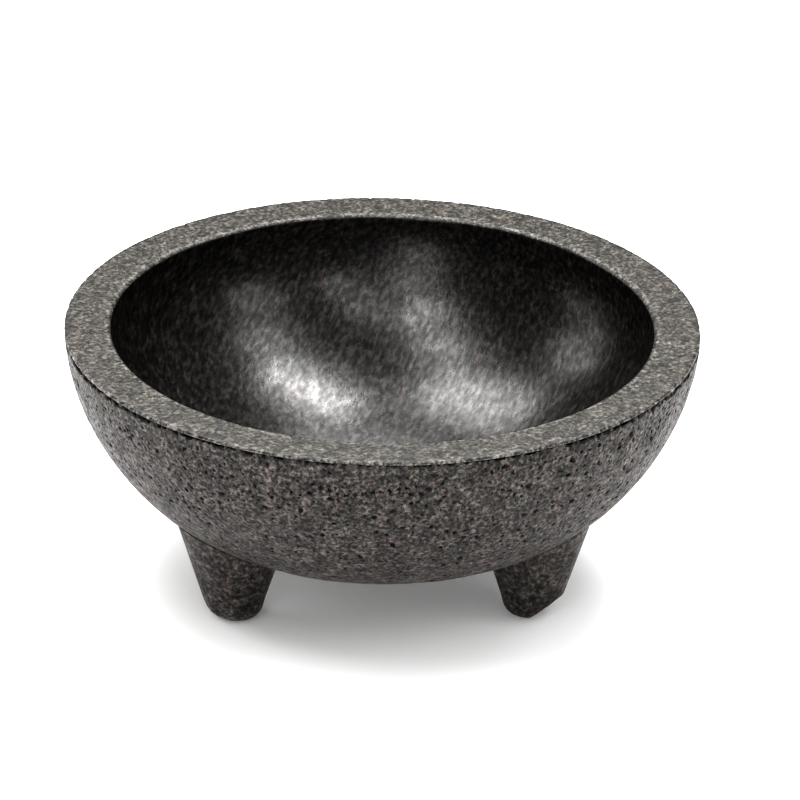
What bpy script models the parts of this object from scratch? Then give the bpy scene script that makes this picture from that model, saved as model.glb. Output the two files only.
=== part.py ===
"""Serving molcajete: a double-walled, granite-look moulded bowl on three short legs.

Five bonded pieces, none of which moves:
  inner_bowl   the smooth cavity with its broad rim flange, and a skirt that laps inside the shell
  outer_shell  the pitted outer wall and underside, with a support ring and three leg sockets inside
  leg_*        three tapered legs, each with a saddle top that fits the shell and a round spigot

Frame: metres, +Z up, the origin on the bowl's axis in the plane that the feet stand on.
The rear leg is on +Y, and the two front legs are 60 degrees either side of -Y.
"""

import math

import bpy
from mathutils import Matrix, Vector

# Driving dimensions
RIM_RADIUS = 0.105  # outer radius of the rim, 8 1/4 inches across
HEIGHT = 0.092  # from the feet to the top of the rim
MOUTH_RADIUS = 0.0895  # radius of the cavity's mouth, at the inner edge of the rim
CAVITY_DEPTH = 0.058  # from the rim's plane to the bottom of the cavity
WALL = 0.003  # moulded wall of the inner bowl and of the shell
BOND_GAP = 0.0003  # bond line between two glued pieces

# Rim flange of the inner bowl, its thin outer lip over the shell's edge, and the skirt inside the shell
FLANGE_THICKNESS = 0.0028
LIP_THICKNESS = 0.0011
RIM_OUTER_ROUND = 0.0008
RIM_INNER_ROUND = 0.0016
SKIRT_THICKNESS = 0.002
SKIRT_LENGTH = 0.0065
SKIRT_CLEARANCE = 0.0006  # the shell narrows a little beside the skirt

# Outer shell
BASE_HEIGHT = 0.0237  # height of the flat underside above the floor
BASE_RADIUS = 0.044
WALL_DROP = 0.027  # how far the wall goes on heading straight down from the rim
WALL_REACH = 0.0795  # how far out the wall's curve reaches as it turns under
SEAM_CHAMFER = 0.0002
SUPPORT_RING_RADIUS = 0.018  # ring inside the shell that the inner bowl stands on
SUPPORT_RING_THICKNESS = 0.002

# Legs
LEG_CIRCLE_RADIUS = 0.057
LEG_RADIUS_AT_FLOOR = 0.008  # radius that the straight taper would have at floor level
LEG_TAPER = 0.317  # gain in radius for each unit of height
LEG_TIP_ROUND = 0.007
LEG_BLANK_HEIGHT = 0.046  # height of the cone before the saddle is cut
TOE_IN = 0.0012  # how far the tip is drawn towards the bowl's axis
TOE_IN_HEIGHT = 0.009
SPIGOT_RADIUS = 0.008
SPIGOT_START = 0.018
SPIGOT_TOP = 0.0342
SOCKET_WALL = 0.0027
SOCKET_ROOF = 0.0015

TURN_STEPS = 60
LEG_STEPS = 32
SOCKET_STEPS = 24
CAVITY_POINTS = 16
WALL_POINTS = 15
MERGE_DISTANCE = 0.00005

LEGS = {"leg_rear": 90.0, "leg_front_left": 210.0, "leg_front_right": 330.0}  # degrees from +X


def clear_scene():
    for obj in list(bpy.data.objects):
        bpy.data.objects.remove(obj)


def new_collection(name, parent=None):
    collection = bpy.data.collections.new(name)
    (parent or bpy.context.scene.collection).children.link(collection)
    return collection


def moulded_material(name, colour, roughness):
    """A dull, granite-coloured moulding compound."""
    material = bpy.data.materials.new(name)
    material.use_nodes = True
    shader = material.node_tree.nodes["Principled BSDF"]
    shader.inputs["Base Color"].default_value = (*colour, 1.0)
    shader.inputs["Roughness"].default_value = roughness
    shader.inputs["Metallic"].default_value = 0.0
    return material


def arc(centre, radius, start, end, count):
    """Points on an arc in the profile plane, from one angle in degrees to another."""
    points = []
    for i in range(count + 1):
        angle = math.radians(start + (end - start) * i / count)
        points.append((centre[0] + radius * math.cos(angle), centre[1] + radius * math.sin(angle)))
    return points


def bezier(p0, p1, p2, p3, count):
    """Points on a cubic curve in the profile plane."""
    points = []
    for i in range(count + 1):
        t = i / count
        s = 1.0 - t
        weights = (s**3, 3 * t * s * s, 3 * t * t * s, t**3)
        points.append(tuple(sum(w * p[k] for w, p in zip(weights, (p0, p1, p2, p3))) for k in (0, 1)))
    return points


def offset(points, distance):
    """The profile moved to the left of its own direction by a distance."""
    moved = []
    for i, point in enumerate(points):
        before = Vector(points[max(i - 1, 0)])
        after = Vector(points[min(i + 1, len(points) - 1)])
        along = (after - before).normalized()
        moved.append((point[0] - along.y * distance, point[1] + along.x * distance))
    return moved


def cavity_profile(grow):
    """The cavity's quarter ellipse, from its bottom on the axis up to the rim's plane."""
    across = MOUTH_RADIUS + grow
    down = CAVITY_DEPTH + grow
    points = []
    for i in range(CAVITY_POINTS + 1):
        angle = math.radians(90.0 * i / CAVITY_POINTS)
        points.append((across * math.sin(angle), HEIGHT - down * math.cos(angle)))
    return points


def shell_profile():
    """The shell's outer wall, from the seam under the rim down to the edge of the flat underside."""
    seam = HEIGHT - LIP_THICKNESS - BOND_GAP
    return bezier(
        (RIM_RADIUS, seam),
        (RIM_RADIUS, HEIGHT - WALL_DROP),
        (WALL_REACH, BASE_HEIGHT),
        (BASE_RADIUS, BASE_HEIGHT),
        WALL_POINTS,
    )


def turn(name, points, steps, collection):
    """A solid turned about Z from a profile whose two ends are on the axis."""
    mesh = bpy.data.meshes.new(name)
    edges = [(i, i + 1) for i in range(len(points) - 1)]
    mesh.from_pydata([(x, 0.0, z) for x, z in points], edges, [])
    obj = bpy.data.objects.new(name, mesh)
    collection.objects.link(obj)
    screw = obj.modifiers.new("turn", "SCREW")
    screw.axis = "Z"
    screw.angle = math.tau
    screw.steps = steps
    screw.render_steps = steps
    screw.use_merge_vertices = True
    screw.merge_threshold = MERGE_DISTANCE
    screw.use_smooth_shade = True
    return obj


def cylinder(name, radius, bottom, top, steps, collection):
    """A round cutter or boss on the leg's axis."""
    bpy.ops.mesh.primitive_cylinder_add(vertices=steps, radius=radius, depth=top - bottom)
    obj = bpy.context.object
    obj.name = name
    obj.data.transform(Matrix.Translation((0.0, 0.0, (bottom + top) / 2)))
    for owner in list(obj.users_collection):
        owner.objects.unlink(obj)
    collection.objects.link(obj)
    return obj


def as_tool(obj):
    """Marks an object as a cutter or a guide that isn't part of the bowl."""
    obj.hide_render = True
    obj.display_type = "WIRE"
    return obj


def boolean(obj, tool, operation):
    modifier = obj.modifiers.new(f"{operation.lower()}_{tool.name}", "BOOLEAN")
    modifier.operation = operation
    modifier.solver = "EXACT"
    modifier.object = tool


def apply_modifiers(obj):
    """Replaces an object's mesh by its evaluated one."""
    bpy.context.view_layer.update()
    graph = bpy.context.evaluated_depsgraph_get()
    mesh = bpy.data.meshes.new_from_object(obj.evaluated_get(graph))
    obj.modifiers.clear()
    obj.data = mesh
    return mesh


def finish(mesh, material):
    """Gives a piece its material, and shades its curved faces smooth."""
    mesh.materials.clear()
    mesh.materials.append(material)
    mesh.shade_smooth()
    mesh.set_sharp_from_angle(angle=math.radians(35.0))


def shell_envelope(name, gap, collection):
    """The solid inside the shell's outer surface, moved out by a gap."""
    wall = offset(shell_profile(), gap)
    closed = [(0.0, HEIGHT), (RIM_RADIUS + gap, HEIGHT)] + wall[1:] + [(0.0, BASE_HEIGHT - gap)]
    return as_tool(turn(name, closed, TURN_STEPS, collection))


def leg_position(azimuth):
    """Where the leg with this azimuth has its axis, turned so that its own +X points outwards."""
    turned = Matrix.Rotation(math.radians(azimuth), 4, "Z")
    return turned @ Matrix.Translation((LEG_CIRCLE_RADIUS, 0.0, 0.0))


def build_inner_bowl(collection, material):
    """Cavity, rounded rim and flange, with the lap skirt that centres it in the shell."""
    round_start = MOUTH_RADIUS + RIM_INNER_ROUND
    cavity = [p for p in cavity_profile(0.0) if p[1] < HEIGHT - RIM_INNER_ROUND]
    inner_round = arc((round_start, HEIGHT - RIM_INNER_ROUND), RIM_INNER_ROUND, 180.0, 90.0, 4)
    outer_centre = (RIM_RADIUS - RIM_OUTER_ROUND, HEIGHT - RIM_OUTER_ROUND)
    outer_round = arc(outer_centre, RIM_OUTER_ROUND, 90.0, 0.0, 4)

    lip = HEIGHT - LIP_THICKNESS
    underside = HEIGHT - FLANGE_THICKNESS
    skirt_outer = RIM_RADIUS - WALL - SKIRT_CLEARANCE
    skirt_inner = skirt_outer - SKIRT_THICKNESS
    edge = [
        (RIM_RADIUS - SEAM_CHAMFER, lip),
        (skirt_outer, lip),
        (skirt_outer, lip - SKIRT_LENGTH),
        (skirt_inner, lip - SKIRT_LENGTH),
        (skirt_inner, underside),
    ]
    outside = [p for p in reversed(cavity_profile(WALL)) if p[1] < underside]
    bowl = turn("inner_bowl", cavity + inner_round + outer_round + edge + outside, TURN_STEPS, collection)
    finish(apply_modifiers(bowl), material)


def build_outer_shell(collection, tools, material):
    """Outer wall and underside in one shell, with a support ring and three leg sockets inside."""
    outside = shell_profile()
    inside = list(reversed(offset(outside, -WALL)))
    floor = BASE_HEIGHT + WALL
    ring_inner = SUPPORT_RING_RADIUS - SUPPORT_RING_THICKNESS / 2
    ring_outer = SUPPORT_RING_RADIUS + SUPPORT_RING_THICKNESS / 2
    bowl_below = (CAVITY_DEPTH + WALL) * math.sqrt(1 - (ring_inner / (MOUTH_RADIUS + WALL)) ** 2)
    ring_top = HEIGHT - bowl_below - BOND_GAP
    support = [
        (0.0, floor),
        (ring_inner, floor),
        (ring_inner, ring_top),
        (ring_outer, ring_top),
        (ring_outer, floor),
    ]
    seam = outside[0][1]
    top_edge = [(RIM_RADIUS - SEAM_CHAMFER, seam), (RIM_RADIUS, seam - SEAM_CHAMFER)]
    profile = support + inside + top_edge + outside[1:] + [(0.0, BASE_HEIGHT)]
    shell = turn("outer_shell", profile, TURN_STEPS, collection)

    bore_radius = SPIGOT_RADIUS + BOND_GAP
    bore_top = SPIGOT_TOP + BOND_GAP
    boss_radius = bore_radius + SOCKET_WALL
    boss_top = bore_top + SOCKET_ROOF
    middle_of_wall = shell_envelope("middle_of_wall", -WALL / 2, tools)
    for name, azimuth in LEGS.items():
        boss = cylinder(f"socket_{name}", boss_radius, SPIGOT_START, boss_top, SOCKET_STEPS, tools)
        bore = cylinder(f"bore_{name}", bore_radius, SPIGOT_START - WALL, bore_top, SOCKET_STEPS, tools)
        for tool in (boss, bore):
            tool.matrix_world = leg_position(azimuth)
        boolean(boss, middle_of_wall, "INTERSECT")
        boolean(shell, as_tool(boss), "UNION")
        boolean(shell, as_tool(bore), "DIFFERENCE")
    finish(apply_modifiers(shell), material)


def leg_blank_profile():
    """A straight taper with a rounded tip and a small flat foot."""
    slope = math.atan(LEG_TAPER)
    centre_out = LEG_RADIUS_AT_FLOOR + LEG_TAPER * LEG_TIP_ROUND - LEG_TIP_ROUND / math.cos(slope)
    tip = arc((centre_out, LEG_TIP_ROUND), LEG_TIP_ROUND, -math.degrees(slope), -90.0, 6)
    top_radius = LEG_RADIUS_AT_FLOOR + LEG_TAPER * LEG_BLANK_HEIGHT
    straight = [(0.0, LEG_BLANK_HEIGHT), (top_radius, LEG_BLANK_HEIGHT)]
    return straight + tip + [(0.0, 0.0)]


def draw_toe_in(mesh):
    """Moves the rounded tip a little towards the bowl's axis, most at the floor."""
    for vertex in mesh.vertices:
        share = max(0.0, 1.0 - vertex.co.z / TOE_IN_HEIGHT)
        vertex.co.x -= TOE_IN * share * share


def build_leg_mesh(tools):
    """One leg about its own axis, cut to the shell's outer surface, with its spigot."""
    blank = turn("leg_blank", leg_blank_profile(), LEG_STEPS, tools)
    draw_toe_in(apply_modifiers(blank))
    saddle = shell_envelope("saddle", BOND_GAP, tools)
    saddle.matrix_world = leg_position(0.0).inverted()
    spigot = as_tool(cylinder("spigot", SPIGOT_RADIUS, SPIGOT_START, SPIGOT_TOP, SOCKET_STEPS, tools))
    boolean(blank, saddle, "DIFFERENCE")
    boolean(blank, spigot, "UNION")
    mesh = apply_modifiers(blank)
    mesh.name = "leg"
    bpy.data.objects.remove(blank)
    return mesh


def build_legs(collection, tools, material):
    """Three identical legs, evenly spaced round the bowl."""
    mesh = build_leg_mesh(tools)
    finish(mesh, material)
    for name, azimuth in LEGS.items():
        leg = bpy.data.objects.new(name, mesh)
        collection.objects.link(leg)
        leg.matrix_world = leg_position(azimuth)


def main():
    clear_scene()
    parts = new_collection("molcajete")
    tools = new_collection("cutters")
    build_inner_bowl(parts, moulded_material("inner_bowl_granite", (0.125, 0.118, 0.112), 0.42))
    build_outer_shell(parts, tools, moulded_material("outer_shell_granite", (0.145, 0.137, 0.130), 0.68))
    build_legs(parts, tools, moulded_material("leg_granite", (0.095, 0.088, 0.083), 0.60))


main()
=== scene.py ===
"""Looks of a serving molcajete: a granite-look moulded bowl, pitted outside, on three short legs.

Each CAD solid is replaced by a finer piece of the same shape: the inner bowl with its smooth
cavity and rim, the outer shell whose wall is pitted in its mesh, and three tapered legs.
Everything is in metres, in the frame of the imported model.
"""

import math

import bmesh
import bpy
import numpy as np
from mathutils import Matrix, Vector, geometry, noise


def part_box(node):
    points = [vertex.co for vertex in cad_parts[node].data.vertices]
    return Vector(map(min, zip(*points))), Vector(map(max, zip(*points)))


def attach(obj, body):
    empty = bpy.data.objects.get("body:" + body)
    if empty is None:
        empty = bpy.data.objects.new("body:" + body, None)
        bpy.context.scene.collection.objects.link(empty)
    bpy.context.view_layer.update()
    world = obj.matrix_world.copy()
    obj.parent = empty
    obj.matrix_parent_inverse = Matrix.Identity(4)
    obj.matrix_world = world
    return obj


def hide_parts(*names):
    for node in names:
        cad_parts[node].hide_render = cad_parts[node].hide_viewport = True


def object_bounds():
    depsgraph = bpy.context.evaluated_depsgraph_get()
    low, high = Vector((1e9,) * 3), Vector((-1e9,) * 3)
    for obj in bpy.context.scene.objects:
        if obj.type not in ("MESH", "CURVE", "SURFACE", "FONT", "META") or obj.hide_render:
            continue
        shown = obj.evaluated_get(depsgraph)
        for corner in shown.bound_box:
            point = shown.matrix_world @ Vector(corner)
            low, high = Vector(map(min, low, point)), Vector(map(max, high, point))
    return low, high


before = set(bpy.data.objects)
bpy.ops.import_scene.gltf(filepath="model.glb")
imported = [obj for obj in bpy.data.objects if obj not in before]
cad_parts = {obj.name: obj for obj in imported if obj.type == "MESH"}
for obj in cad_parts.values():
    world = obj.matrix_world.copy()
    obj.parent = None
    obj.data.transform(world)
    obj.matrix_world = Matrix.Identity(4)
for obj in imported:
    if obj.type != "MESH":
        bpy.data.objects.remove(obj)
CAD_LOW, CAD_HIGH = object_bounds()

MM = 0.001

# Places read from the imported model
BOWL_LOW, BOWL_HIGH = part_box("inner_bowl")
SHELL_LOW, SHELL_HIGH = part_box("outer_shell")
RIM_RADIUS = BOWL_HIGH.x
RIM_HEIGHT = BOWL_HIGH.z
SEAM_HEIGHT = SHELL_HIGH.z
BASE_HEIGHT = SHELL_LOW.z
FLOOR_HEIGHT = CAD_LOW.z

# Shapes that a box doesn't give, as the design has them
WALL = 3 * MM
MOUTH_RADIUS = 89.5 * MM
CAVITY_DEPTH = RIM_HEIGHT - BOWL_LOW.z - WALL
RIM_INNER_ROUND = 1.6 * MM
RIM_OUTER_ROUND = 0.8 * MM
LIP_THICKNESS = 1.1 * MM
LIP_UNDERCUT = 0.1 * MM
FLANGE_THICKNESS = 2.8 * MM
SKIRT_OUTER = RIM_RADIUS - WALL - 0.6 * MM
SKIRT_INNER = SKIRT_OUTER - 2 * MM
SKIRT_LENGTH = 6.5 * MM
BASE_RADIUS = 44 * MM
WALL_DROP = 27 * MM
WALL_REACH = 79.5 * MM

LEGS = {"leg_rear": 90.0, "leg_front_left": 210.0, "leg_front_right": 330.0}  # degrees from +X
LEG_CIRCLE_RADIUS = 57 * MM
LEG_RADIUS_AT_FLOOR = 8 * MM
LEG_TAPER = 0.317
LEG_TIP_ROUND = 7 * MM
LEG_TOP_BEVEL = 0.25 * MM
LEG_GAP = 0.03 * MM  # the bond line doesn't show
LEG_SEAT_RADIUS = 18 * MM
TOE_IN = 1.2 * MM
TOE_IN_HEIGHT = 9 * MM
WORN_TILT = 41.0  # degrees the worn flat on a tip's outer side stands from the floor
WORN_RISE = {"leg_rear": 3.0 * MM, "leg_front_left": 2.6 * MM, "leg_front_right": 6.2 * MM}

# Fineness of the meshes
BOWL_STEPS = 900
CAVITY_RINGS = 60
INNER_ROUND_RINGS = 6
FLAT_RINGS = 9
OUTER_ROUND_RINGS = 4
OUTSIDE_RINGS = 12
EDGE_STEPS = 1200
INSIDE_RINGS = 7
BASE_SAMPLES = 40
WALL_SAMPLES = 400
LEG_STEPS = 96
LEG_FLAT_RINGS = 3
LEG_TIP_RINGS = 14
LEG_RINGS = 16
SADDLE_SHARES = (0.985, 0.6, 0.2)  # shares of the leg's radius at its top
WALL_SPACING = 2.0 * MM
HALVINGS = 40


# Mesh helpers


def mesh_object(name, points, faces):
    """A smooth-shaded mesh object from arrays of points and faces."""
    mesh = bpy.data.meshes.new(name)
    mesh.from_pydata(np.asarray(points).tolist(), [], [list(face) for face in faces])
    mesh.validate()
    mesh.shade_smooth()
    obj = bpy.data.objects.new(name, mesh)
    bpy.context.scene.collection.objects.link(obj)
    return obj


def arc(centre, radius, start, end, count):
    """Profile points on an arc, angles in degrees."""
    angles = np.radians(np.linspace(start, end, count + 1))
    across = centre[0] + radius * np.cos(angles)
    return np.column_stack((across, centre[1] + radius * np.sin(angles)))


def line(start, end, count):
    """Evenly spaced profile points from start up to but not including end."""
    shares = np.arange(count)[:, None] / count
    return np.asarray(start) + (np.asarray(end) - np.asarray(start)) * shares


def ring_faces(rings, steps):
    """Quads between rings of equal length, laid out ring after ring."""
    faces = []
    for i in range(rings - 1):
        for j in range(steps):
            k = (j + 1) % steps
            faces.append((i * steps + j, i * steps + k, (i + 1) * steps + k, (i + 1) * steps + j))
    return faces


def fan_faces(start, steps, middle):
    """Triangles from the ring of points that begins at start to one point in its middle."""
    return [(start + j, start + (j + 1) % steps, middle) for j in range(steps)]


def reversed_faces(faces):
    return [face[::-1] for face in faces]


def turned(name, profile, steps):
    """A closed solid turned about Z from a profile whose two ends lie on the axis."""
    angles = np.linspace(0.0, math.tau, steps, endpoint=False)
    body = profile[1:-1]
    x = body[:, :1] * np.cos(angles)
    y = body[:, :1] * np.sin(angles)
    z = np.repeat(body[:, 1:], steps, axis=1)
    points = np.stack((x, y, z), axis=2).reshape(-1, 3)
    points = np.vstack((points, (0.0, 0.0, profile[0, 1]), (0.0, 0.0, profile[-1, 1])))
    first, last = len(points) - 2, len(points) - 1
    faces = reversed_faces(ring_faces(len(body), steps))
    faces += fan_faces(0, steps, first)
    faces += reversed_faces(fan_faces((len(body) - 1) * steps, steps, last))
    return mesh_object(name, points, faces)


def bumps(points, size, seed):
    """Smooth noise between -1 and 1 at each point, with features of about the given size."""
    shift = Vector((seed * 17.3, seed * 5.1, seed * 9.7))
    return np.array([noise.noise(Vector(p) / size + shift) for p in points])


def point_attribute(obj, name, values):
    obj.data.attributes.new(name, "FLOAT", "POINT").data.foreach_set("value", values)


def recalculate_normals(obj):
    """Turns every face of a closed mesh outwards."""
    work = bmesh.new()
    work.from_mesh(obj.data)
    bmesh.ops.recalc_face_normals(work, faces=work.faces)
    work.to_mesh(obj.data)
    work.free()
    obj.data.shade_smooth()


# The inner bowl

BOWL_SHARP_ANGLE = 50.0
CAVITY_EDGE_DROP = 0.6 * RIM_INNER_ROUND  # below the rim, where the cavity's material ends
NICK_SIZE = 2.0 * MM
NICK_DEPTH = 0.45 * MM
NICK_DROP = 0.15 * MM
SMALL_NICK_SIZE = 0.9 * MM
SMALL_NICKS = 0.6  # how deep they are beside the others
DIP_SIZE = 3.0 * MM
DIP_DEPTH = 0.08 * MM
# Widths and strength of the painted highlight along the rim's outer and inner edges
OUTER_HIGHLIGHT_WIDTH = 0.7 * RIM_OUTER_ROUND
INNER_HIGHLIGHT_WIDTH = 0.9 * MM
INNER_HIGHLIGHT = 0.6
EDGE_HIGHLIGHT_SHARE = "edge_highlight_share"  # point attribute, 1 where the rim's edges get a painted highlight


def cavity_curve(grow, count):
    """Quarter ellipse from its bottom on the axis up to the rim's plane."""
    angles = np.radians(np.linspace(0.0, 90.0, count + 1))
    across = (MOUTH_RADIUS + grow) * np.sin(angles)
    height = RIM_HEIGHT - (CAVITY_DEPTH + grow) * np.cos(angles)
    return np.column_stack((across, height))


def bowl_profile():
    """From the cavity's bottom over the rim, round the skirt, to the bowl's bottom outside."""
    cavity = cavity_curve(0.0, CAVITY_RINGS)
    cavity = cavity[cavity[:, 1] < RIM_HEIGHT - RIM_INNER_ROUND]
    inner_centre = (MOUTH_RADIUS + RIM_INNER_ROUND, RIM_HEIGHT - RIM_INNER_ROUND)
    outer_centre = (RIM_RADIUS - RIM_OUTER_ROUND, RIM_HEIGHT - RIM_OUTER_ROUND)
    inner_round = arc(inner_centre, RIM_INNER_ROUND, 180.0, 90.0, INNER_ROUND_RINGS)
    outer_round = arc(outer_centre, RIM_OUTER_ROUND, 90.0, 0.0, OUTER_ROUND_RINGS)
    flat = line(inner_round[-1], outer_round[0], FLAT_RINGS)[1:]
    lip = RIM_HEIGHT - LIP_THICKNESS
    underneath = np.array(
        [
            (RIM_RADIUS - LIP_UNDERCUT, lip),
            (SKIRT_OUTER, lip),
            (SKIRT_OUTER, lip - SKIRT_LENGTH),
            (SKIRT_INNER, lip - SKIRT_LENGTH),
            (SKIRT_INNER, RIM_HEIGHT - FLANGE_THICKNESS),
        ]
    )
    outside = cavity_curve(WALL, OUTSIDE_RINGS)[::-1]
    outside = outside[outside[:, 1] < RIM_HEIGHT - FLANGE_THICKNESS]
    return np.vstack((cavity, inner_round, flat, outer_round, underneath, outside))


def make_inner_bowl(cavity_material, rim_material):
    """The cavity in its own material, and the rim and all below it in another."""
    bowl = turned("bowl_lining", bowl_profile(), BOWL_STEPS)
    bowl.data.materials.append(cavity_material)
    bowl.data.materials.append(rim_material)
    cavity_edge = RIM_HEIGHT - CAVITY_EDGE_DROP
    for face in bowl.data.polygons:
        face.material_index = 1 if face.center.z > cavity_edge or face.normal.z < 0.0 else 0
    roughen_rim(bowl)
    bowl.data.set_sharp_from_angle(angle=math.radians(BOWL_SHARP_ANGLE))
    return bowl


def roughen_rim(bowl):
    """Nicks round the rim's outer edge, and a slightly uneven top."""
    points = np.array([vertex.co for vertex in bowl.data.vertices])
    reach = np.hypot(points[:, 0], points[:, 1])
    lip_edge = RIM_HEIGHT - LIP_THICKNESS - LIP_UNDERCUT
    edge = (reach > RIM_RADIUS - RIM_OUTER_ROUND) & (points[:, 2] > lip_edge)
    nick = np.zeros(len(points))
    small = SMALL_NICKS * bumps(points[edge], SMALL_NICK_SIZE, 12)
    nick[edge] = np.clip(bumps(points[edge], NICK_SIZE, 11) + small, 0.0, 1.0)
    points[:, :2] *= (1.0 - NICK_DEPTH * nick / RIM_RADIUS)[:, None]
    top = (points[:, 2] > RIM_HEIGHT - RIM_INNER_ROUND) & (reach > MOUTH_RADIUS)
    dip = np.zeros(len(points))
    dip[top] = 0.5 + 0.5 * bumps(points[top], DIP_SIZE, 13)
    points[:, 2] -= DIP_DEPTH * dip + NICK_DROP * nick
    bowl.data.vertices.foreach_set("co", points.ravel())
    # marks the painted highlight along the rim's outer and inner edges
    point_attribute(bowl, EDGE_HIGHLIGHT_SHARE, rim_edge_highlight(reach) * top)


def rim_edge_highlight(reach):
    """How much painted highlight the rim gets at a distance from the axis, the most at its edges.
    """
    outer = np.clip(1.0 - (RIM_RADIUS - reach) / OUTER_HIGHLIGHT_WIDTH, 0.0, 1.0)
    from_inner_edge = np.abs(reach - MOUTH_RADIUS - RIM_INNER_ROUND)
    inner = np.clip(1.0 - from_inner_edge / INNER_HIGHLIGHT_WIDTH, 0.0, 1.0)
    return np.maximum(outer, INNER_HIGHLIGHT * inner)


# The outer shell


class ShellCurve:
    """The shell's outer meridian by arc length, from the middle of the underside to the seam."""

    def __init__(self):
        t = np.linspace(0.0, 1.0, WALL_SAMPLES)
        ends = (
            (BASE_RADIUS, BASE_HEIGHT),
            (WALL_REACH, BASE_HEIGHT),
            (RIM_RADIUS, RIM_HEIGHT - WALL_DROP),
            (RIM_RADIUS, SEAM_HEIGHT),
        )
        weights = ((1 - t) ** 3, 3 * t * (1 - t) ** 2, 3 * t**2 * (1 - t), t**3)
        wall = sum(np.outer(w, end) for w, end in zip(weights, ends))
        curve = np.vstack((line((0.0, BASE_HEIGHT), wall[0], BASE_SAMPLES), wall))
        steps = np.hypot(*np.diff(curve, axis=0).T)
        self.length = np.concatenate(((0.0,), np.cumsum(steps)))
        self.radius, self.height = curve[:, 0], curve[:, 1]
        along = np.gradient(curve, self.length, axis=0)
        self.out_r, self.out_z = along[:, 1], -along[:, 0]
        self.total = self.length[-1]

    def radius_at(self, s):
        return np.interp(s, self.length, self.radius)

    def height_at_radius(self, radius):
        """Height of the underside or wall above a point at this radius."""
        return np.interp(radius, self.radius, self.height)

    def place(self, s, theta, depth):
        """Points at arc length s and angle theta, sunk by a depth below the surface."""
        nr = np.interp(s, self.length, self.out_r)
        nz = np.interp(s, self.length, self.out_z)
        r = self.radius_at(s) - nr * depth
        z = np.interp(s, self.length, self.height) - nz * depth
        return np.column_stack((r * np.cos(theta), r * np.sin(theta), z))

    def spot(self, s, theta):
        """One point on the surface."""
        return self.place(np.array([s]), np.array([theta]), np.array([0.0]))[0]


SHELL = ShellCurve()

SHELL_SEED = 7
SHELL_SHARP_ANGLE = 75.0
PAINTED_SHADE_SHARE = "painted_shade_share"  # point attribute for painted shade: 1 at the bottom of a pit and on the hidden inside, up to 1 in the seam's chips
PIT_RINGS = ((1.0, 0.0), (0.8, 0.6), (0.42, 0.95))  # share of the pit's radius, share of its depth
SMALL_PIT_RINGS = ((1.0, 0.0), (0.55, 0.85))
PIT_SIDES = 9
SMALL_PIT_SIDES = 6
SMALL_PIT = 0.52 * MM  # short radius up to which a pit is a small one
PIT_TRIES = ((2800, 0.5 * MM, 0.95 * MM), (12000, 0.26 * MM, 0.48 * MM))  # and short radii
PIT_STRETCH = (1.0, 2.0)  # long radius as a share of the short one
PIT_STEEPNESS = (0.8, 1.3)  # depth as a share of the short radius
PIT_WOBBLE = (0.8, 1.12)
PIT_MARGIN = 0.12 * MM
PIT_CUBE = 3.0 * MM
LATTICE_CUBE = 4.0 * MM
PIT_FADE_HEIGHTS = (28 * MM, 48 * MM, 86 * MM)  # few pits below, the most near the rim
PIT_CHANCES = (0.08, 0.8, 1.5)
PIT_SHADOW_DEPTH = 0.5 * MM  # from which a point counts as a pit's bottom
PATCH_SIZE = 16 * MM
PATCH_MEAN = 0.55
PATCH_SWING = 0.9
EDGE_BAND = 2.0 * MM  # strip below the seam that the edge's own rings fill
EDGE_DROPS = (1.6 * MM, 0.8 * MM, 0.0)  # of those rings below the seam
BARE_SHARE = 0.12  # of the flattened shell, which has no pits, in the middle of the underside

CRACK_PITS = 13
CRACK_SHARES = (0.0, 0.3, 1.0)  # places along the crack
CRACK_AZIMUTHS = (-15.5, -10.0, 3.0)  # degrees from the front, +X side positive
CRACK_DROPS = (8.5 * MM, 12.5 * MM, 8.0 * MM)  # below the seam
CRACK_TURN = 0.35  # radians that a pit may lie off the crack's line
CRACK_LONG = (0.9, 1.25)  # long radii in millimetres
CRACK_SHORT = (0.3, 0.45)  # short radii in millimetres
CRACK_DEPTH = 0.9 * MM

# Height, size and seed of each kind of wave
WAVES = ((0.16 * MM, 11 * MM, 1), (0.08 * MM, 4.5 * MM, 2), (0.05 * MM, 2.2 * MM, 5))
WAVE_SINK = 0.25 * MM  # keeps the waves inside the CAD surface
WAVE_FADE = 6 * MM
EDGE_BACK = 0.1 * MM
CHIP_SIZE = 2.4 * MM
CHIP_SHARE = 0.9  # of the chips beside the crumbs
CRUMB_SIZE = 1.0 * MM
CHIP_GAIN = 2.0
CHIP_SPREAD = 0.55
FRONT_CHIPS = 0.35  # depth of those in front and behind as a share of those at the sides
CHIP_BACK = 0.8 * MM
CHIP_DROP = 1.4 * MM
INSIDE_END = 8 * MM  # from the axis, where the inside's last ring is


class Nearby:
    """Keeps items by place, in cubes, and finds those near another place."""

    def __init__(self, cube):
        self.cube = cube
        self.items = {}

    def key(self, place):
        return tuple(int(math.floor(c / self.cube)) for c in place)

    def add(self, place, item):
        self.items.setdefault(self.key(place), []).append(item)

    def near(self, place):
        """Items in the place's own cube and in all the cubes that touch it."""
        x, y, z = self.key(place)
        steps = (-1, 0, 1)
        keys = [(x + a, y + b, z + c) for a in steps for b in steps for c in steps]
        return [item for key in keys for item in self.items.get(key, ())]


def crack_pits(rng):
    """A broken line of narrow pits across the front of the wall."""
    pits = []
    for share in np.linspace(0.0, 1.0, CRACK_PITS):
        azimuth = math.radians(np.interp(share, CRACK_SHARES, CRACK_AZIMUTHS))
        below = np.interp(share, CRACK_SHARES, CRACK_DROPS)
        turn = math.pi / 2 + rng.uniform(-CRACK_TURN, CRACK_TURN)
        long, short = rng.uniform(*CRACK_LONG) * MM, rng.uniform(*CRACK_SHORT) * MM
        pits.append((SHELL.total - below, azimuth - math.pi / 2, long, short, turn, CRACK_DEPTH))
    return pits


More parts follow.
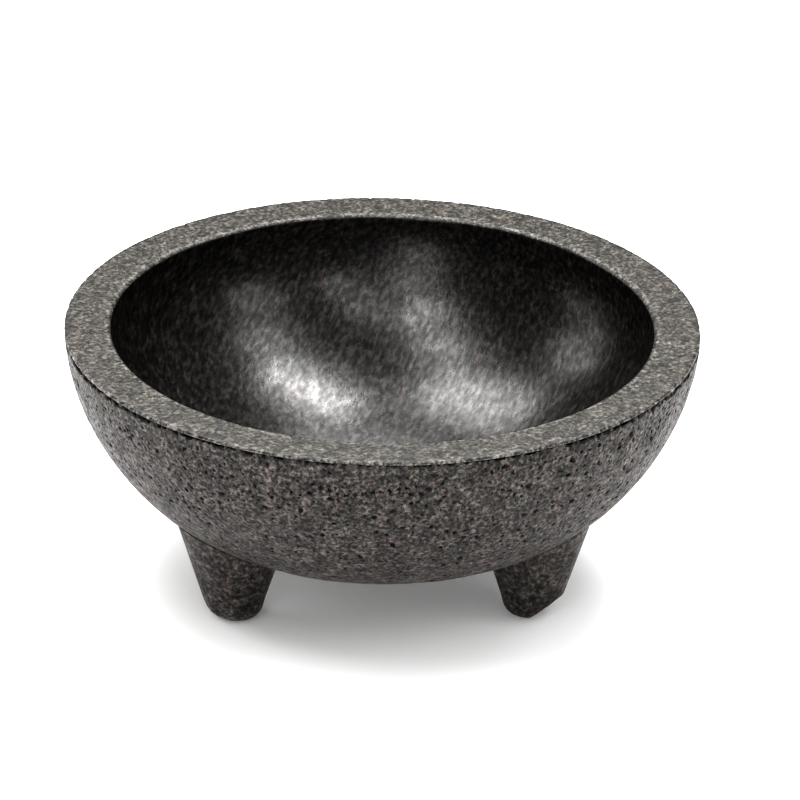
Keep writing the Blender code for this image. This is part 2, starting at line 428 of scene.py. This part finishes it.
def random_pit(rng, smallest, largest):
    """A pit anywhere on the shell but in the middle of the underside."""
    s = SHELL.total * math.sqrt(rng.uniform(BARE_SHARE, 1.0))
    theta = rng.uniform(0.0, math.tau)
    short = smallest + (largest - smallest) * rng.uniform() ** 2
    long = short * rng.uniform(*PIT_STRETCH)
    turn = rng.uniform(0.0, math.pi)
    depth = short * rng.uniform(*PIT_STEEPNESS)
    return s, theta, long, short, turn, depth


def pit_chance(place):
    """How likely a pit is kept: by its height on the wall, and in patches."""
    patch = PATCH_MEAN + PATCH_SWING * bumps([place], PATCH_SIZE, 4)[0]
    return np.interp(place[2], PIT_FADE_HEIGHTS, PIT_CHANCES) * patch


def scatter_pits(rng):
    """Pits as (s, theta, long radius, short radius, turn, depth), kept from running together."""
    pits = crack_pits(rng)
    taken = Nearby(PIT_CUBE)
    for s, theta, long, *_ in pits:
        here = SHELL.spot(s, theta)
        taken.add(here, (here, long))
    for tries, smallest, largest in PIT_TRIES:
        for _ in range(tries):
            pit = random_pit(rng, smallest, largest)
            s, theta, long = pit[:3]
            here = SHELL.spot(s, theta)
            if s + long > SHELL.total - EDGE_BAND or rng.uniform() > pit_chance(here):
                continue
            clear = long + PIT_MARGIN
            if any(np.hypot.reduce(here - place) < clear + r for place, r in taken.near(here)):
                continue
            taken.add(here, (here, long))
            pits.append(pit)
    return np.array(pits)


def pit_points(pits, rng):
    """Points of every pit's rings and bottom as (s, theta, depth)."""
    rows = []
    for s, theta, long, short, turn, depth in pits:
        small = short <= SMALL_PIT
        rings, sides = (SMALL_PIT_RINGS, SMALL_PIT_SIDES) if small else (PIT_RINGS, PIT_SIDES)
        radius = float(SHELL.radius_at(s))
        wobble = rng.uniform(*PIT_WOBBLE, sides)
        phase = rng.uniform(0.0, math.tau)
        for share, sunk in rings:
            for k in range(sides):
                angle = phase + math.tau * k / sides
                u = long * share * wobble[k] * math.cos(angle)
                v = short * share * wobble[k] * math.sin(angle)
                along = u * math.cos(turn) - v * math.sin(turn)
                across = u * math.sin(turn) + v * math.cos(turn)
                rows.append((s + along, theta + across / radius, depth * sunk))
        rows.append((s, theta, depth))
    return np.array(rows)


def lattice_points(pits):
    """A triangular lattice over the shell, by arc length and angle, without the points in pits."""
    row_share = math.sqrt(0.75)
    columns = int(SHELL.total / WALL_SPACING) + 1
    rows = int(SHELL.total / (WALL_SPACING * row_share)) + 1
    i, j = np.meshgrid(np.arange(-columns, columns + 1), np.arange(-rows, rows + 1))
    x = ((i + 0.5 * (j % 2)) * WALL_SPACING).ravel()
    y = (j * WALL_SPACING * row_share).ravel()
    s = np.hypot(x, y)
    below_edge = s < SHELL.total - EDGE_BAND
    s, theta = s[below_edge], np.arctan2(y, x)[below_edge]

    centres = SHELL.place(pits[:, 0], pits[:, 1], np.zeros(len(pits)))
    around = Nearby(LATTICE_CUBE)
    for n, centre in enumerate(centres):
        around.add(centre, n)
    keep = np.ones(len(s), bool)
    for n, place in enumerate(SHELL.place(s, theta, np.zeros(len(s)))):
        near = around.near(place)
        if near:
            apart = np.linalg.norm(centres[near] - place, axis=1)
            keep[n] = not np.any(apart < pits[near, 2] + PIT_MARGIN)
    return np.column_stack((s[keep], theta[keep], np.zeros(keep.sum())))


def edge_angles():
    return np.linspace(0.0, math.tau, EDGE_STEPS, endpoint=False)


def edge_points():
    """Rings just below the seam, down to the topmost one at the seam itself."""
    rings = []
    for below in EDGE_DROPS:
        s = np.full(EDGE_STEPS, SHELL.total - below)
        rings.append(np.column_stack((s, edge_angles(), np.zeros(EDGE_STEPS))))
    return np.vstack(rings)


def wall_waves(s, points):
    """Depth of slow waves, which fade out at the seam and where the legs are bonded on."""
    fade = np.clip((SHELL.total - s) / WAVE_FADE, 0.0, 1.0)
    for azimuth in LEGS.values():
        axis = np.array((math.cos(math.radians(azimuth)), math.sin(math.radians(azimuth))))
        off = np.hypot(*(points[:, :2] - axis * LEG_CIRCLE_RADIUS).T)
        fade *= np.clip((off - LEG_SEAT_RADIUS) / WAVE_FADE, 0.0, 1.0)
    wave = sum(height * bumps(points, size, seed) for height, size, seed in WAVES)
    return (WAVE_SINK + wave) * fade


def chip_edge(points, sunk):
    """Chips the two topmost rings, deeper at the sides than in front and behind, and paints shade
    into the chips.
    """
    edge = len(points) - EDGE_STEPS
    for start, share in ((edge, 1.0), (edge - EDGE_STEPS, 0.5)):
        ring = points[start : start + EDGE_STEPS]
        ragged = CHIP_SHARE * bumps(ring, CHIP_SIZE, 3) + bumps(ring, CRUMB_SIZE, 6)
        sideways = np.abs(ring[:, 0]) / RIM_RADIUS
        chip = np.clip(ragged * CHIP_GAIN + CHIP_SPREAD, 0.0, 1.0)
        chip *= (FRONT_CHIPS + (1.0 - FRONT_CHIPS) * sideways) * share
        ring[:, :2] *= (1.0 - (EDGE_BACK * share + CHIP_BACK * chip) / RIM_RADIUS)[:, None]
        ring[:, 2] -= CHIP_DROP * chip
        # the chips get painted shade, for the shade under the lip's overhang
        sunk[start : start + EDGE_STEPS] = np.clip(chip * 2.0, 0.0, 1.0)


def close_inside(points, faces):
    """Adds the hidden inside, from the topmost ring down to a point on the axis."""
    edge = len(points) - EDGE_STEPS
    inside = []
    for share in np.linspace(0.0, 1.0, INSIDE_RINGS):
        s = np.full(EDGE_STEPS, SHELL.total - share * (SHELL.total - INSIDE_END))
        inside.append(SHELL.place(s, edge_angles(), np.full(EDGE_STEPS, WALL)))
    points = np.vstack([points, *inside, [(0.0, 0.0, BASE_HEIGHT + WALL)]])
    for face in ring_faces(INSIDE_RINGS + 1, EDGE_STEPS):
        faces.append(tuple(edge + corner for corner in face))
    middle = len(points) - 1
    return points, faces + fan_faces(middle - EDGE_STEPS, EDGE_STEPS, middle)


def make_outer_shell(material):
    """The shell, triangulated over its flattened outside so that every pit is in the mesh."""
    rng = np.random.default_rng(SHELL_SEED)
    pits = scatter_pits(rng)
    rows = np.vstack((lattice_points(pits), pit_points(pits, rng), edge_points()))
    s, theta, depth = rows.T
    flat = [Vector((a * math.cos(b), a * math.sin(b))) for a, b in zip(s, theta)]
    faces = [tuple(face) for face in geometry.delaunay_2d_cdt(flat, [], [], 0, 1e-9)[2]]
    waves = wall_waves(s, SHELL.place(s, theta, depth))
    points = SHELL.place(s, theta, depth + waves)
    # painted shade, fuller the deeper a point lies in a pit
    sunk = np.clip(depth / PIT_SHADOW_DEPTH, 0.0, 1.0)
    chip_edge(points, sunk)
    points, faces = close_inside(points, faces)
    shell = mesh_object("pitted_shell", points, faces)
    # painted shade in full on the hidden inside
    point_attribute(shell, PAINTED_SHADE_SHARE, np.concatenate((sunk, np.ones(len(points) - len(sunk)))))
    recalculate_normals(shell)
    shell.data.set_sharp_from_angle(angle=math.radians(SHELL_SHARP_ANGLE))
    shell.data.materials.append(material)
    return shell


# The legs

LEG_SHARP_ANGLE = 60.0


def leg_tip():
    """Radius and height of a leg's tip: a small flat, then a round that runs into the taper."""
    slope = math.atan(LEG_TAPER)
    out = taper(LEG_TIP_ROUND) - LEG_TIP_ROUND / math.cos(slope)
    flat = line((0.25 * out, 0.0), (out, 0.0), LEG_FLAT_RINGS)
    centre = (out, LEG_TIP_ROUND)
    tip = arc(centre, LEG_TIP_ROUND, -90.0, -math.degrees(slope), LEG_TIP_RINGS)
    return np.vstack((flat, tip))


def taper(height):
    """Radius of a leg's straight part at a height."""
    return LEG_RADIUS_AT_FLOOR + LEG_TAPER * height


def ring_about(centre, angles, radius, height):
    """A ring of points at radii and heights round a leg's axis."""
    x = centre[0] + radius * np.cos(angles)
    y = centre[1] + radius * np.sin(angles)
    return np.column_stack((x, y, np.broadcast_to(height, x.shape)))


def under_shell(ring):
    """Height just below the shell at each point of a ring."""
    return SHELL.height_at_radius(np.hypot(ring[:, 0], ring[:, 1])) - LEG_GAP


def saddle_heights(centre, angles, start):
    """Heights at which the taper meets the shell, found by halving."""
    low = np.full(LEG_STEPS, start)
    high = np.full(LEG_STEPS, RIM_HEIGHT)
    for _ in range(HALVINGS):
        middle = (low + high) / 2
        under = under_shell(ring_about(centre, angles, taper(middle), middle)) > middle
        low, high = np.where(under, middle, low), np.where(under, high, middle)
    return low


def leg_rings(centre, angles):
    """Rings of a straight leg, from its tip to near the middle of its saddle."""
    tip = leg_tip()
    rings = [ring_about(centre, angles, r, z) for r, z in tip]
    start = tip[-1, 1]
    top = saddle_heights(centre, angles, start)
    for share in np.linspace(0.0, 1.0, LEG_RINGS + 1)[1:]:
        height = start + (top - LEG_TOP_BEVEL - start) * share
        rings.append(ring_about(centre, angles, taper(height), height))
    for share in SADDLE_SHARES:
        ring = ring_about(centre, angles, taper(top) * share, 0.0)
        ring[:, 2] = under_shell(ring)
        rings.append(ring)
    return rings


def cut_worn_flat(points, side, outward, rise):
    """Pushes in what lies beyond the flat worn on a tip's outer lower side."""
    tilt = math.radians(WORN_TILT)
    normal = np.array((*(outward * math.sin(tilt)), -math.cos(tilt)))
    beyond = (points - (*side, rise)) @ normal
    return points - np.clip(beyond, 0.0, None)[:, None] * normal


def make_leg(name, azimuth, worn_rise, material):
    """A leg that ends in a saddle just under the shell, with its tip drawn in towards the axis."""
    turn = math.radians(azimuth)
    angles = np.linspace(0.0, math.tau, LEG_STEPS, endpoint=False) + turn
    outward = np.array((math.cos(turn), math.sin(turn)))
    centre = outward * LEG_CIRCLE_RADIUS
    rings = leg_rings(centre, angles)
    points = np.vstack(rings)
    drawn = np.clip(1.0 - points[:, 2] / TOE_IN_HEIGHT, 0.0, None) ** 2 * TOE_IN
    points[:, :2] -= drawn[:, None] * outward
    side = centre + outward * LEG_RADIUS_AT_FLOOR
    points = cut_worn_flat(points, side, outward, worn_rise)

    middle_top = SHELL.height_at_radius(LEG_CIRCLE_RADIUS) - LEG_GAP
    foot = centre - outward * TOE_IN
    points = np.vstack((points, (*centre, middle_top), (*foot, FLOOR_HEIGHT)))
    faces = ring_faces(len(rings), LEG_STEPS)
    faces += fan_faces((len(rings) - 1) * LEG_STEPS, LEG_STEPS, len(points) - 2)
    faces += reversed_faces(fan_faces(0, LEG_STEPS, len(points) - 1))
    leg = mesh_object(name, points, faces)
    leg.data.set_sharp_from_angle(angle=math.radians(LEG_SHARP_ANGLE))
    leg.data.materials.append(material)
    return leg


# Materials

RIM_TINTS = ((1.0, 0.86, 0.79), (0.94, 0.94, 0.79))
WALL_TINTS = ((1.0, 0.73, 0.77), (0.91, 0.93, 0.74))
SHEEN_TINTS = ((1.0, 0.92, 0.97), (0.95, 1.0, 0.93))
TINT_PLACES = (0.4, 0.6)
TINT_SCALE = 900.0  # grains of colour to a metre
DETAIL = 3.0
CLOUD_SIZE = 4  # in grains
CLOUD_OCTAVE = 0.65
CELL_SIZE = 0.75  # in grains
SPECKLE_PLACES = (0.36, 0.5, 0.66)  # of the three shades, from pores to the palest grains
GRAIN_SHADES = ((0.0, 0.65), (0.6, 0.98), (1.0, 1.3))
DRIFT = ((0.32, 0.5), (0.68, 1.5))  # slow noise to how dark or pale a patch is
GLOSS_DRIFT = ((0.35, 1.15), (0.65, 0.9))  # slow noise to a share of the roughness
PIT_SHADOW = ((0.0, 1.0), (0.8, 0.2))  # painted shadow: share of shade, in pits and chips, to how dark
PORE_SIZE = 1.7 * MM
PORE_DISTORTION = 0.6
PORES = ((0.35, 0.25), (0.43, 1.0))  # noise to how dark and how low a pore is; the darkening is painted shade in pores that only the bump makes
BRUSH_DIRECTION = (0.4, 0.8, 0.45)
BRUSH_STRETCH = 2.4
HIGHLIGHT_SPECKS = ((0.42, 0.0), (0.6, 0.1))  # speckle to how much paler the painted edge highlight makes the rim
POLISH = ((0.36, 0.4), (0.64, 0.7))  # speckle to specular level, dull in the pores
FLOOR_WHITE = (0.86, 0.86, 0.86, 1.0)
FLOOR_ROUGHNESS = 0.9
FLOOR_GLOW = 0.12


def node(tree, kind, inputs=None, **settings):
    """A node with its settings and its inputs, each a value or another node's output."""
    made = tree.nodes.new(kind)
    for key, value in settings.items():
        setattr(made, key, value)
    for key, value in (inputs or {}).items():
        if isinstance(value, bpy.types.NodeSocket):
            tree.links.new(value, made.inputs[key])
        else:
            made.inputs[key].default_value = value
    return made


def noise_texture(tree, place, scale, detail, roughness=0.5, distortion=0.0):
    inputs = {"Vector": place, "Scale": scale, "Detail": detail}
    inputs.update({"Roughness": roughness, "Distortion": distortion})
    return node(tree, "ShaderNodeTexNoise", inputs).outputs["Fac"]


def attribute(tree, name):
    return node(tree, "ShaderNodeAttribute", attribute_name=name).outputs["Fac"]


def ramp(tree, factor, stops):
    """A colour ramp from (place, grey or colour) stops."""
    made = node(tree, "ShaderNodeValToRGB", {"Fac": factor})
    elements = made.color_ramp.elements
    while len(elements) < len(stops):
        elements.new(0.5)
    for element, (place, colour) in zip(elements, stops):
        element.position = place
        value = colour if isinstance(colour, tuple) else (colour,) * 3
        element.color = (*value, 1.0)
    return made.outputs["Color"]


def blend(tree, first, second, mode="MULTIPLY"):
    """Two colours blended in full. Sockets 6 and 7 are the node's two colours."""
    inputs = {0: 1.0, 6: first, 7: second}
    return node(tree, "ShaderNodeMix", inputs, data_type="RGBA", blend_type=mode).outputs[2]


def brushed(tree, place):
    """Coordinates in which a texture is drawn out along the cavity's slanting brush marks."""
    slant = Vector(BRUSH_DIRECTION).to_track_quat("Z", "Y").to_euler()
    marks = {"Vector": place, "Rotation": tuple(slant), "Scale": (1.0, 1.0, BRUSH_STRETCH)}
    return node(tree, "ShaderNodeMapping", marks, vector_type="TEXTURE").outputs[0]


def granite(name, shades, tints, roughness, grain, relief, octave, finish):
    """Granite-look compound with a grain size and a relief in metres.

    The octave is how strong the finer noise is. The finish is plain, polished and brushed,
    pitted with pores that get painted shade, or worn, which paints a highlight on the edges.
    """
    material = bpy.data.materials.new(name)
    material.use_nodes = True
    tree = material.node_tree
    shader = tree.nodes["Principled BSDF"]
    place = node(tree, "ShaderNodeTexCoord").outputs["Object"]
    grain_place = brushed(tree, place) if finish == "polished" else place
    speckle = noise_texture(tree, grain_place, 1 / grain, DETAIL, octave)
    cloud = noise_texture(tree, place, 1 / (CLOUD_SIZE * grain), DETAIL, CLOUD_OCTAVE)
    tint_noise = noise_texture(tree, place, TINT_SCALE, 1.0)
    cells = {"Vector": grain_place, "Scale": 1 / (CELL_SIZE * grain)}
    grains = node(tree, "ShaderNodeTexVoronoi", cells).outputs["Color"]

    height = speckle
    colour = ramp(tree, speckle, tuple(zip(SPECKLE_PLACES, shades)))
    colour = blend(tree, colour, ramp(tree, grains, GRAIN_SHADES))
    colour = blend(tree, colour, ramp(tree, cloud, DRIFT))
    colour = blend(tree, colour, ramp(tree, tint_noise, tuple(zip(TINT_PLACES, tints))))
    if finish == "pitted":
        # pores: painted shade darkens them, and the bump lowers them
        pore_noise = noise_texture(tree, place, 1 / PORE_SIZE, 2.0, distortion=PORE_DISTORTION)
        pores = ramp(tree, pore_noise, PORES)
        # painted shadow in pits, in the seam's chips and on the hidden inside
        colour = blend(tree, colour, ramp(tree, attribute(tree, PAINTED_SHADE_SHARE), PIT_SHADOW))
        colour = blend(tree, colour, pores)
        height = blend(tree, speckle, pores)
    # painted highlight: the rim's edges made paler where they would catch the light
    if finish == "worn":
        share = ramp(tree, attribute(tree, EDGE_HIGHLIGHT_SHARE), ((0.0, 0.0), (1.0, 1.0)))
        pale = blend(tree, ramp(tree, speckle, HIGHLIGHT_SPECKS), share)
        colour = blend(tree, colour, pale, mode="ADD")
    if finish == "polished":
        tree.links.new(ramp(tree, speckle, POLISH), shader.inputs["Specular IOR Level"])
        sheen = ramp(tree, tint_noise, tuple(zip(TINT_PLACES, SHEEN_TINTS)))
        tree.links.new(sheen, shader.inputs["Specular Tint"])
    gloss = ramp(tree, cloud, [(stop, roughness * share) for stop, share in GLOSS_DRIFT])
    bump = node(tree, "ShaderNodeBump", {"Strength": 1.0, "Distance": relief, "Height": height})
    tree.links.new(colour, shader.inputs["Base Color"])
    tree.links.new(gloss, shader.inputs["Roughness"])
    tree.links.new(bump.outputs["Normal"], shader.inputs["Normal"])
    return material


def cavity_granite():
    return granite(
        "cavity_granite",
        # painted shade: the same compound as the rim and wall, in far darker shades that stand for
        # the shade in the hollow
        shades=(0.004, 0.012, 0.035),
        tints=WALL_TINTS,
        roughness=0.28,
        grain=1.5 * MM,
        relief=0.062 * MM,
        octave=0.6,
        finish="polished",
    )


def rim_granite():
    return granite(
        "rim_granite",
        shades=(0.016, 0.054, 0.13),
        tints=RIM_TINTS,
        roughness=0.42,
        grain=1.2 * MM,
        relief=0.2 * MM,
        octave=0.62,
        # the worn finish paints a highlight along the rim's edges
        finish="worn",
    )


def wall_granite():
    return granite(
        "wall_granite",
        shades=(0.005, 0.061, 0.147),
        tints=WALL_TINTS,
        roughness=0.46,
        grain=1.35 * MM,
        relief=0.6 * MM,
        octave=0.66,
        finish="pitted",
    )


def leg_granite():
    return granite(
        "leg_granite",
        shades=(0.008, 0.054, 0.13),
        tints=WALL_TINTS,
        roughness=0.48,
        grain=1.5 * MM,
        relief=0.32 * MM,
        octave=0.6,
        finish="plain",
    )


def floor_white():
    """White that glows a little, so that it stays pale round the bowl's shadow."""
    material = bpy.data.materials.new("floor_white")
    material.use_nodes = True
    shader = material.node_tree.nodes["Principled BSDF"]
    shader.inputs["Base Color"].default_value = FLOOR_WHITE
    shader.inputs["Roughness"].default_value = FLOOR_ROUGHNESS
    shader.inputs["Emission Color"].default_value = FLOOR_WHITE
    shader.inputs["Emission Strength"].default_value = FLOOR_GLOW
    return material


# Stage

FLOOR_REACH = 6.0

VIEW_AZIMUTH = -3.5  # degrees from the front, +X side positive
VIEW_ELEVATION = 24.66
VIEW_ROLL = 1.04
VIEW_DISTANCE = 30 * RIM_RADIUS
LENS = 429.7
SENSOR = 36.0
FARTHEST_SEEN = 50.0
AIM_RIGHT = 6.2 * MM
AIM_DOWN = 24.4 * MM

# name, azimuth, elevation, width and height in metres, power in watts
SOFTBOXES = (
    ("over_right", 137.0, 62.5, 0.66, 0.27, 9.8),
    ("over_left_back", 214.0, 63.0, 0.46, 0.42, 5.6),
    ("over_left", 272.0, 72.0, 0.36, 0.34, 3.2),
    ("over_left_front", 325.0, 62.0, 0.35, 0.55, 5.0),
    ("front_left", 342.0, 36.0, 0.40, 0.60, 2.9),
    ("front_left_low", 342.0, 12.0, 0.40, 0.50, 1.4),
    ("front", 12.0, 58.0, 0.22, 0.40, 1.5),
    ("front_right", 20.0, 40.0, 0.25, 0.40, 1.2),
    ("right", 66.0, 36.0, 0.45, 0.60, 2.3),
    ("right_high", 88.0, 54.0, 0.40, 0.40, 2.5),
    ("back_left", 212.0, 46.0, 0.45, 0.35, 3.4),
    ("back_right", 172.0, 44.0, 0.50, 0.35, 2.2),
    ("left", 240.0, 28.0, 0.50, 0.50, 2.3),
    ("low_left", 250.0, 8.0, 0.80, 0.40, 2.0),
)
SOFTBOX_DISTANCE = 1.4
AMBIENT = 0.25


def make_floor():
    corners = [
        (x * FLOOR_REACH, y * FLOOR_REACH, FLOOR_HEIGHT)
        for x, y in ((-1, -1), (1, -1), (1, 1), (-1, 1))
    ]
    floor = mesh_object("floor", corners, [(0, 1, 2, 3)])
    floor.data.materials.append(floor_white())


def direction(azimuth, elevation):
    """From the bowl towards an azimuth, 0 in front at -Y and 90 at +X, and an elevation."""
    a, e = math.radians(azimuth), math.radians(elevation)
    return Vector((math.sin(a) * math.cos(e), -math.cos(a) * math.cos(e), math.sin(e)))


def make_camera():
    """A long lens at the angle that the bowl is seen from."""
    back = direction(VIEW_AZIMUTH, VIEW_ELEVATION)
    a = math.radians(VIEW_AZIMUTH)
    right = Vector((math.cos(a), math.sin(a), 0.0))
    up = back.cross(right)
    rim_centre = Vector((0.0, 0.0, RIM_HEIGHT))
    target = rim_centre + right * AIM_RIGHT - up * AIM_DOWN
    camera = bpy.data.objects.new("camera", bpy.data.cameras.new("camera"))
    bpy.context.scene.collection.objects.link(camera)
    camera.location = rim_centre + back * VIEW_DISTANCE
    facing = (target - camera.location).to_track_quat("-Z", "Y").to_matrix().to_4x4()
    roll = Matrix.Rotation(math.radians(VIEW_ROLL), 4, "Z")
    camera.matrix_world = Matrix.Translation(camera.location) @ facing @ roll
    camera.data.lens = LENS
    camera.data.sensor_width = SENSOR
    camera.data.clip_end = FARTHEST_SEEN
    bpy.context.scene.camera = camera


def make_softbox(name, azimuth, elevation, width, height, power):
    """A rectangular light that faces the bowl."""
    away = direction(azimuth, elevation)
    data = bpy.data.lights.new(name, "AREA")
    data.shape = "RECTANGLE"
    data.size, data.size_y = width, height
    data.energy = power
    light = bpy.data.objects.new(name, data)
    bpy.context.scene.collection.objects.link(light)
    light.location = Vector((0.0, 0.0, RIM_HEIGHT)) + away * SOFTBOX_DISTANCE
    light.rotation_euler = (-away).to_track_quat("-Z", "Y").to_euler()


def make_lights():
    """The softboxes, a faint white surround, and the way the picture is toned."""
    for name, azimuth, elevation, width, height, power in SOFTBOXES:
        make_softbox(f"softbox_{name}", azimuth, elevation, width, height, power)
    world = bpy.data.worlds.new("studio")
    bpy.context.scene.world = world
    world.use_nodes = True
    backdrop = world.node_tree.nodes["Background"]
    backdrop.inputs["Color"].default_value = (1.0, 1.0, 1.0, 1.0)
    backdrop.inputs["Strength"].default_value = AMBIENT
    bpy.context.scene.view_settings.view_transform = "Standard"
    bpy.context.scene.view_settings.look = "Very High Contrast"


def dress(piece, node_name):
    """Parents a piece to the root body and hides the CAD node that it stands for."""
    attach(piece, "root")
    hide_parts(node_name)


def main():
    cavity, rim, wall, leg = cavity_granite(), rim_granite(), wall_granite(), leg_granite()
    dress(make_inner_bowl(cavity, rim), "inner_bowl")
    dress(make_outer_shell(wall), "outer_shell")
    for name, azimuth in LEGS.items():
        foot = make_leg(name.replace("leg", "foot"), azimuth, WORN_RISE[name], leg)
        dress(foot, name)
    make_floor()
    make_camera()
    make_lights()


main()
